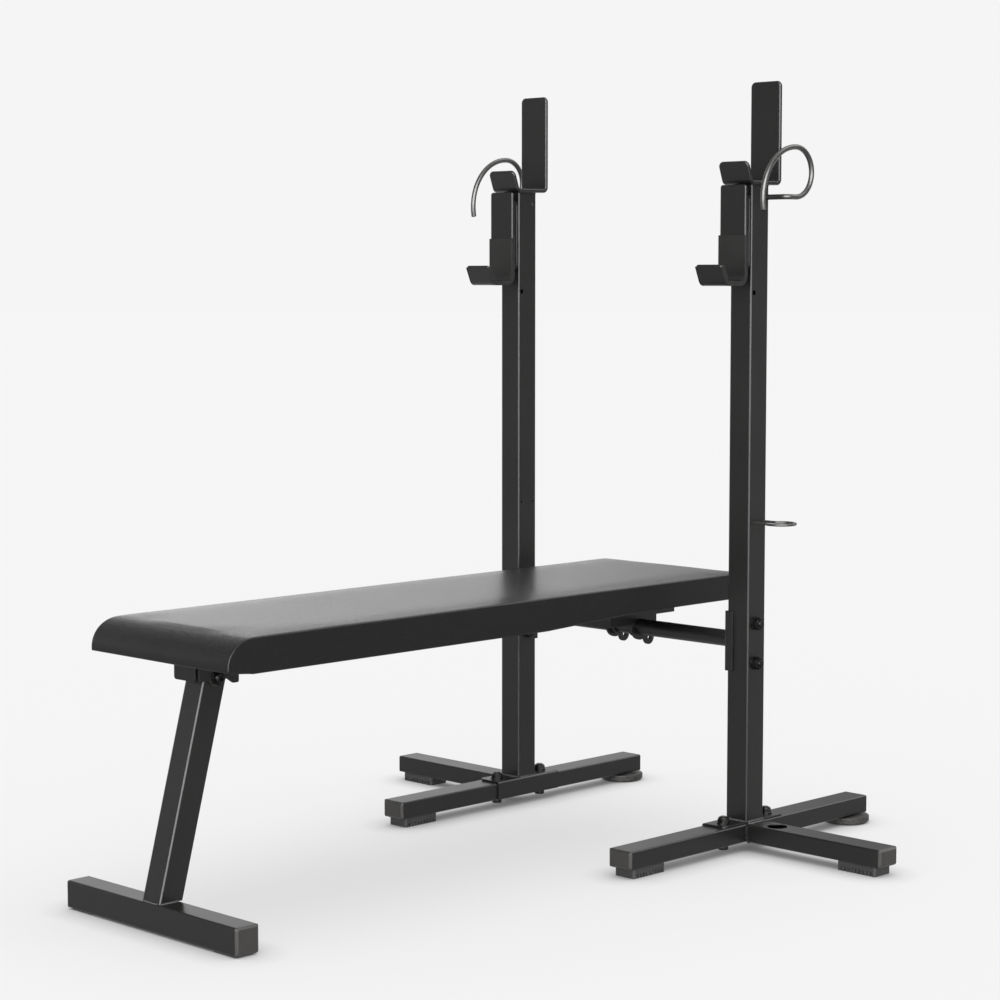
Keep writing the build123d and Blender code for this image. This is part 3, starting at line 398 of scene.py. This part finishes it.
def smooth(piece, angle=None):
    """Smooth shading, kept sharp at edges over angle where it is given."""
    for polygon in piece.data.polygons:
        polygon.use_smooth = True
    if angle is not None:
        piece.data.set_sharp_from_angle(angle=radians(angle))


def only(kind, items):
    """The vertices or the edges among the items that an operator gives back."""
    return [item for item in items if isinstance(item, kind)]


def bead(mesh, start, end, radius):
    """Adds a weld bead from start to end: a rod whose rings swell with each ripple of the weld."""
    ripple = 0.0022
    rings_to_ripple = 3
    ripple_swell = 0.16             # how much a ripple's crest and foot differ from the radius
    start_taper = 0.55
    end_taper = 0.5
    start = Vector(start)
    end = Vector(end)
    along = end - start
    turn = along.to_track_quat("Z", "Y").to_matrix().to_4x4()
    steps = max(3, round(along.length / ripple * rings_to_ripple))
    begun = bmesh.ops.create_circle(
        mesh, cap_ends=True, radius=radius * start_taper, segments=8,
        matrix=Matrix.Translation(start) @ turn)
    ring = [edge for edge in mesh.edges if all(v in begun["verts"] for v in edge.verts)
            and len(edge.link_faces) == 1]
    for step in range(1, steps + 1):
        grown = bmesh.ops.extrude_edge_only(mesh, edges=ring)["geom"]
        corners = only(bmesh.types.BMVert, grown)
        ring = only(bmesh.types.BMEdge, grown)
        middle = start + along * (step / steps)
        width = radius * (1 + ripple_swell * (step % rings_to_ripple - 1))
        if step == steps:
            width = radius * end_taper
        now = sum((v.co for v in corners), Vector()) / len(corners)
        for v in corners:
            v.co = middle + (v.co - now).normalized() * width
    bmesh.ops.contextual_create(mesh, geom=ring)


def weld(name, body, runs, radius):
    """A piece made of the weld beads along several runs."""
    mesh = bmesh.new()
    for start, end in runs:
        bead(mesh, start, end, radius)
    piece = settle(mesh, name, body, weld_coat)
    smooth(piece, angle=60)


# ---------------------------------------------------------------- weld beads
tube_bead = 0.0022              # radii of the beads
base_bead = 0.0024
plate_bead = 0.0018
tube_inset = 0.0025             # the beads stop this far short of a corner
base_inset = 0.003
plate_inset = 0.004

for side, sign in (("left", -1), ("right", 1)):
    low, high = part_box(f"{side}_upright")
    saddle_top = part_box(f"{side}_saddle")[1].z
    foot_low = low + Vector((tube_inset, tube_inset, 0))
    foot_high = high - Vector((tube_inset, tube_inset, 0))
    inner_x, outer_x = (low.x, high.x) if sign > 0 else (high.x, low.x)
    weld(f"{side}_upright_weld", "frame", [
        ((foot_low.x, y, saddle_top), (foot_high.x, y, saddle_top)) for y in (low.y, high.y)
    ] + [
        ((x, foot_low.y, saddle_top), (x, foot_high.y, saddle_top)) for x in (inner_x, outer_x)
    ], tube_bead)

    out_low, out_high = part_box(f"{side}_outrigger")
    base_low, base_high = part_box(f"{side}_base_bar")
    face = base_high.x if sign > 0 else base_low.x
    weld(f"{side}_outrigger_weld", "frame", [
        ((face, y, out_low.z + base_inset), (face, y, out_high.z - base_inset))
        for y in (out_low.y, out_high.y)
    ] + [
        ((face, out_low.y + base_inset, z), (face, out_high.y - base_inset, z))
        for z in (out_high.z, out_low.z)
    ], base_bead)

    weld(f"{side}_upper_rest_weld", "frame", [
        ((x, foot_low.y, high.z), (x, foot_high.y, high.z)) for x in (low.x, high.x)
    ], plate_bead)

    hold_low, hold_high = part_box(f"{side}_hook_standoff")
    weld(f"{side}_hook_weld", "frame", [
        ((x, y, hold_low.z + plate_inset), (x, y, hold_high.z - plate_inset))
        for y in (low.y, hold_low.y) for x in (hold_low.x, hold_high.x)
    ], plate_bead)

tee_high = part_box("t_foot")[1]
leg_low, leg_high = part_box("leg_tube")
half_leg = (leg_high.x - leg_low.x) / 2
weld("leg_foot_weld", "front_leg", [
    ((-half_leg + tube_inset, leg_low.y, tee_high.z), (half_leg - tube_inset, leg_low.y, tee_high.z))
] + [
    ((x, leg_low.y + tube_inset, tee_high.z), (x, tee_high.y - tube_inset, tee_high.z))
    for x in (-half_leg, half_leg)
], tube_bead)


# ---------------------------------------------------------------- cushion
pad_low, pad_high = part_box("pad_cover")
upright_low, upright_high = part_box("right_upright")
upright_y = (upright_low.y + upright_high.y) / 2
edge_radius = 0.0022
grid_spacing = 0.0085
swell_most = 0.0022             # the cover blows out by no more than this
flat_height = 0.010             # below this the cover is pulled flat on its board
nose_length = 0.0445            # rounding at the foot end's top
nose_drop = 0.037
nose_steps = 16
toe_length = 0.040              # stretch at the foot end where the underside rises
toe_rise = 0.0042
toe_ease = 0.1                  # share of it, before and after its end, that levels out
head_rise = 0.0086              # the underside is this much higher at the head end
rise_start = upright_y - 0.330  # and climbs to that height between these places
rise_end = upright_y - 0.130


def pad_blank():
    """Closed form of the pad: a flat slab with one rounded end, its corners eased."""
    mesh = bmesh.new()
    low = pad_low.z
    outline = [
        (pad_low.y, low + toe_rise),
        (pad_low.y + toe_length * (1 - toe_ease), low + toe_rise * toe_ease),
        (pad_low.y + toe_length * (1 + toe_ease), low),
        (rise_start, low),
        (rise_end, low + head_rise),
        (pad_high.y, low + head_rise),
        (pad_high.y, pad_high.z),
    ]
    for step in range(nose_steps):
        turn = pi / 2 + pi / 2 * step / nose_steps
        outline.append((pad_low.y + nose_length + nose_length * cos(turn),
                        pad_high.z - nose_drop + nose_drop * sin(turn)))
    outline.append((pad_low.y, pad_high.z - nose_drop))
    corners = [mesh.verts.new((pad_low.x, y, z)) for y, z in outline]
    side = mesh.faces.new(corners)
    grown = bmesh.ops.extrude_face_region(mesh, geom=[side])["geom"]
    bmesh.ops.translate(
        mesh, vec=(pad_high.x - pad_low.x, 0, 0), verts=only(bmesh.types.BMVert, grown))
    bmesh.ops.recalc_face_normals(mesh, faces=mesh.faces)
    rim = [edge for edge in mesh.edges if edge.calc_face_angle(0) > radians(60)]
    under_limit = low + head_rise + 0.001
    under = [edge for edge in rim if all(v.co.z < under_limit for v in edge.verts)]
    upper = [edge for edge in rim if edge not in under]
    bmesh.ops.bevel(mesh, geom=upper, offset=edge_radius, offset_type="OFFSET", segments=4,
                    profile=0.5, affect="EDGES", material=-1, clamp_overlap=True)
    return mesh


def gridded(mesh, spacing):
    """Cuts a mesh across every axis at that spacing, so that it can stretch evenly."""
    for axis in range(3):
        low = min(v.co[axis] for v in mesh.verts)
        high = max(v.co[axis] for v in mesh.verts)
        span = high - low - 2 * edge_radius
        count = max(2, round(span / spacing))
        normal = Vector((0, 0, 0))
        normal[axis] = 1
        for step in range(count + 1):
            point = Vector((0, 0, 0))
            point[axis] = low + edge_radius + span * step / count
            bmesh.ops.bisect_plane(
                mesh, geom=mesh.verts[:] + mesh.edges[:] + mesh.faces[:], dist=1e-5,
                plane_co=point, plane_no=normal)


def swell(piece, most, held):
    """Blows a closed piece up like a full cover; no point moves out further than most."""
    most_in = 0.1 * most
    frames = 20
    smoothing_rounds = 10
    group = piece.vertex_groups.new(name="held")
    start = [v.co.copy() for v in piece.data.vertices]
    outward = [v.normal.copy() for v in piece.data.vertices]
    tight = [v.index for v in piece.data.vertices if held(v.co)]
    group.add(tight, 1.0, "REPLACE")
    cloth = piece.modifiers.new("cover", "CLOTH")
    cloth.settings.quality = 5
    cloth.settings.mass = 0.25
    cloth.settings.tension_stiffness = 20
    cloth.settings.compression_stiffness = 20
    cloth.settings.shear_stiffness = 8
    cloth.settings.bending_stiffness = 2.0
    cloth.settings.use_pressure = True
    cloth.settings.uniform_pressure_force = 4
    cloth.settings.effector_weights.gravity = 0
    cloth.settings.vertex_group_mass = "held"
    for number in range(1, frames + 1):
        scene.frame_set(number)
    graph = bpy.context.evaluated_depsgraph_get()
    blown = piece.evaluated_get(graph).to_mesh()
    rise = [max(-most_in, min(most, (after.co - before).dot(way)))
            for after, before, way in zip(blown.vertices, start, outward)]
    piece.evaluated_get(graph).to_mesh_clear()
    piece.modifiers.clear()
    scene.frame_set(1)
    beside = [[] for _ in start]
    for edge in piece.data.edges:
        first, second = edge.vertices
        beside[first].append(second)
        beside[second].append(first)
    fixed = set(tight)
    for _ in range(smoothing_rounds):
        rise = [0.0 if n in fixed else (rise[n] + sum(rise[m] for m in near)) / (1 + len(near))
                for n, near in enumerate(beside)]
    for v, before, way, out in zip(piece.data.vertices, start, outward, rise):
        v.co = before + way * out


blank = pad_blank()
gridded(blank, grid_spacing)
cushion = settle(blank, "bench_cushion", "bench", finishes["vinyl"])
swell(cushion, swell_most, lambda point: point.z < pad_low.z + flat_height)
rounding = cushion.modifiers.new("rounding", "SUBSURF")
rounding.levels = 1
rounding.render_levels = 1
smooth(cushion)
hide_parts("pad_cover", "pad_foam")


# ---------------------------------------------------------------- underside of the cushion
hem_width = 0.026
hem_margin = 0.004              # the hem starts this far in from the pad's edge
hem_toe_gap = 0.003             # and this far past the raised stretch at the foot end
hem_gap = 0.0001
hem_thickness = 0.0009
lining_overlap = 0.006          # the lining lies this far over the hem
lining_drop = 0.0011
lining_rows = 60
lining_columns = 16
slack_depth = 0.0004            # how far the lining ripples, and how closely
slack_across = 95
slack_along = 61
staple_size = (0.0098, 0.0011, 0.0006)
staple_drop = 0.0013
staple_round = 0.0002
staple_inset = 0.0035           # a side's staples lie this far out from the hem's inner edge
end_inset = 0.003               # and an end's this far in from the lining's
side_gap = 0.012                # a side's first and last staples stand off the lining's corners
end_gap = 0.016                 # and an end's stand off the sides' staples
side_lean = 0.16                # staples driven by hand lean a little either way
end_lean = 0.14
side_staples = 26
end_staples = 6


def under_height(y):
    """Height of the pad's underside at y."""
    share = (y - rise_start) / (rise_end - rise_start)
    return pad_low.z + head_rise * max(0.0, min(1.0, share))


def stretched_grid(x_stations, y_stations, drop):
    """A grid that follows the underside, drop below it, with its lines at the stations."""
    mesh = bmesh.new()
    across = len(x_stations)
    made = bmesh.ops.create_grid(
        mesh, x_segments=across - 1, y_segments=len(y_stations) - 1, size=1)["verts"]
    made.sort(key=lambda v: (round(v.co.y, 4), round(v.co.x, 4)))
    for number, v in enumerate(made):
        y = y_stations[number // across]
        v.co = (x_stations[number % across], y, under_height(y) - drop)
    return mesh


def spaced(low, high, count):
    """Evenly spaced places from low to high, count steps apart."""
    return [low + (high - low) * step / count for step in range(count + 1)]


hem_out_x = pad_high.x - hem_margin
hem_in_x = hem_out_x - hem_width
hem_foot = pad_low.y + toe_length + hem_toe_gap
hem_head = pad_high.y - hem_margin
window_foot = hem_foot + hem_width
window_head = hem_head - hem_width
hem_y = [hem_foot, window_foot, rise_start, rise_end, window_head, hem_head]
hem = stretched_grid([-hem_out_x, -hem_in_x, hem_in_x, hem_out_x], hem_y, hem_gap)
window = [face for face in hem.faces
          if abs(face.calc_center_median().x) < hem_width / 2
          and window_foot < face.calc_center_median().y < window_head]
bmesh.ops.delete(hem, geom=window, context="FACES")
bmesh.ops.recalc_face_normals(hem, faces=hem.faces)
bmesh.ops.solidify(hem, geom=hem.faces[:], thickness=hem_thickness)
settle(hem, "turned_hem", "bench", finishes["vinyl"])

cloth_x = hem_in_x + lining_overlap
cloth_foot = window_foot - lining_overlap
cloth_head = window_head + lining_overlap
cloth_y = sorted(spaced(cloth_foot, cloth_head, lining_rows) + [rise_start, rise_end])
cloth = stretched_grid(spaced(-cloth_x, cloth_x, lining_columns), cloth_y, lining_drop)
for v in cloth.verts:
    slack = cos(v.co.x * slack_across) * sin(v.co.y * slack_along) * (1 - abs(v.co.x) / cloth_x)
    v.co.z += slack_depth * slack
dust = settle(cloth, "dust_cloth", "bench", lining)
smooth(dust)


def staple(mesh, x, y, turn):
    """Adds one staple's crown, pressed flat into the hem."""
    where = Matrix.Translation((x, y, under_height(y) - staple_drop))
    size = Matrix.Diagonal((*staple_size, 1))
    bmesh.ops.create_cube(mesh, size=1, matrix=where @ Matrix.Rotation(turn, 4, "Z") @ size)


staples = bmesh.new()
staple_line = hem_in_x + staple_inset
for number, y in enumerate(spaced(cloth_foot + side_gap, cloth_head - side_gap, side_staples)):
    lean = side_lean * sin(number * 2.3)
    staple(staples, -staple_line, y, pi / 2 + lean)
    staple(staples, staple_line, y, pi / 2 - lean)
for number, x in enumerate(spaced(-staple_line + end_gap, staple_line - end_gap, end_staples)):
    lean = end_lean * cos(number * 1.9)
    staple(staples, x, cloth_foot + end_inset, lean)
    staple(staples, x, cloth_head - end_inset, -lean)
bmesh.ops.bevel(staples, geom=staples.edges[:], offset=staple_round, offset_type="OFFSET",
                segments=1, profile=0.5, affect="EDGES", material=-1)
settle(staples, "staples", "bench", staple_metal)


# ---------------------------------------------------------------- floor, light and camera
def studio_floor():
    """Pale floor with soft shadows, cast by the lights and painted near the pieces; gloss sees it
    bright far behind and far ahead, dim elsewhere.
    """
    floor_radius = 60
    steadying = 0.3                 # keeps headings steady near the middle of the floor
    painted_shadow_reach = 0.05             # how far out a piece darkens the floor it stands on
    even_share = 0.55               # how much of the floor's look is even light, not lit paint
    mesh = bmesh.new()
    bmesh.ops.create_circle(mesh, cap_ends=True, radius=floor_radius, segments=96)
    data = bpy.data.meshes.new("studio_floor")
    mesh.to_mesh(data)
    mesh.free()
    floor = bpy.data.objects.new("studio_floor", data)
    scene.collection.objects.link(floor)
    material = bpy.data.materials.new("pale_floor")
    material.use_nodes = True
    recipe = Recipe(material.node_tree)
    x = recipe.axis("X")
    y = recipe.axis("Y")
    distance = recipe.node("VectorMath", {"operation": "LENGTH"}, {0: recipe.place()}, "Value")
    behind = (y - x) * DIAGONAL / (distance + steadying)
    level = recipe.ease(behind, -0.1, 0.75, 0.30, 1.1)
    near = recipe.ease(distance, 0.8, 2.6, 1.0, 0.0)
    ahead = (x - y) * DIAGONAL / (distance + steadying)
    facing = recipe.ease(ahead, 0.55, 0.88, 0.0, 2.1) * (1 - near)
    seen = level * (1 - near) + near * 0.45 + facing
    glow = recipe.node("Emission", None, {"Strength": seen})
    matt = recipe.node("BsdfDiffuse", None, {"Color": (0.90, 0.90, 0.90, 1)})
    # painted contact shadow: ambient occlusion darkens the floor's even glow near the pieces
    painted_shadow_mask = recipe.node("AmbientOcclusion", {"samples": 12}, {"Distance": painted_shadow_reach}, "AO")
    even_glow_and_painted_shadow = recipe.node("Emission", None, {
        "Color": recipe.blend(painted_shadow_mask, shade(0.05), shade(PALE)), "Strength": 1.0})
    camera = recipe.node("LightPath", out="Is Camera Ray")
    glossy = recipe.node("LightPath", out="Is Glossy Ray")
    shown = recipe.node("MixShader", None, {0: camera * even_share, 1: matt, 2: even_glow_and_painted_shadow})
    surface = recipe.node("MixShader", None, {0: glossy, 1: shown, 2: glow})
    recipe.node("OutputMaterial", None, {"Surface": surface})
    data.materials.append(material)


def studio_world():
    """Even light for matt surfaces; for gloss, bright cloths low behind, in front and above.

    The cloth behind is brightest at the left, and nearly gone at the right.
    """
    room_level = 0.80               # what matt surfaces see
    gloss_level = 0.28              # what gloss sees between the cloths
    world = bpy.data.worlds.new("studio")
    scene.world = world
    world.use_nodes = True
    recipe = Recipe(world.node_tree)
    way = recipe.node("TexCoord", out="Generated")
    x, y, z = (recipe.node("SeparateXYZ", None, {0: way}, name) for name in "XYZ")
    behind = recipe.ease((y - x) * DIAGONAL, -0.1, 0.75)
    side = (x + y) * DIAGONAL
    low = recipe.ease(z, 0.18, 0.38, 1.0, 0.12)
    left = recipe.ease(side, -0.16, 0.02, 1.35, 1.0)
    right = recipe.ease(side, 0.0, 0.15, 1.0, 0.14)
    facing = recipe.ease((x - y) * DIAGONAL, 0.50, 0.86, 0.0, 9)
    above = recipe.ease(x * 0.2 + y * 0.69 + z * 0.69, 0.82, 0.95, 0.0, 2.2)
    seen = gloss_level + behind * low * left * right * 1.05 + facing + above
    camera = recipe.node("LightPath", out="Is Camera Ray")
    glossy = recipe.node("LightPath", out="Is Glossy Ray")
    level = camera * PALE + (1 - camera) * (glossy * seen + (1 - glossy) * room_level)
    light = recipe.node("Background", None, {"Color": (1, 1, 1, 1), "Strength": level})
    recipe.node("OutputWorld", None, {"Surface": light})


def sun(name, heading, height, strength, spread):
    """A wide, soft light from that heading and height in degrees."""
    distance = 6
    lamp = bpy.data.lights.new(name, "SUN")
    lamp.energy = strength
    lamp.angle = radians(spread)
    source = bpy.data.objects.new(name, lamp)
    way = Vector((sin(radians(heading)) * cos(radians(height)),
                  -cos(radians(heading)) * cos(radians(height)), sin(radians(height))))
    source.rotation_mode = "QUATERNION"
    source.rotation_quaternion = way.to_track_quat("Z", "Y")
    source.location = way * distance
    scene.collection.objects.link(source)


def studio_camera():
    """A long lens in front and to the right, a little lower than the rests."""
    heading = radians(44.78)
    dip = radians(5.10)
    back = Vector((sin(heading) * cos(dip), -cos(heading) * cos(dip), sin(dip)))
    lens = bpy.data.cameras.new("studio_camera")
    lens.lens = 89.83
    lens.sensor_width = 36
    camera = bpy.data.objects.new("studio_camera", lens)
    camera.location = (2.5950, -2.5737, 0.8592)
    camera.rotation_mode = "QUATERNION"
    camera.rotation_quaternion = (-back).to_track_quat("-Z", "Y")
    scene.collection.objects.link(camera)
    scene.camera = camera


studio_floor()
studio_world()
sun("overhead_softbox", 120, 80, 0.72, 60)
studio_camera()
scene.view_settings.view_transform = "Standard"
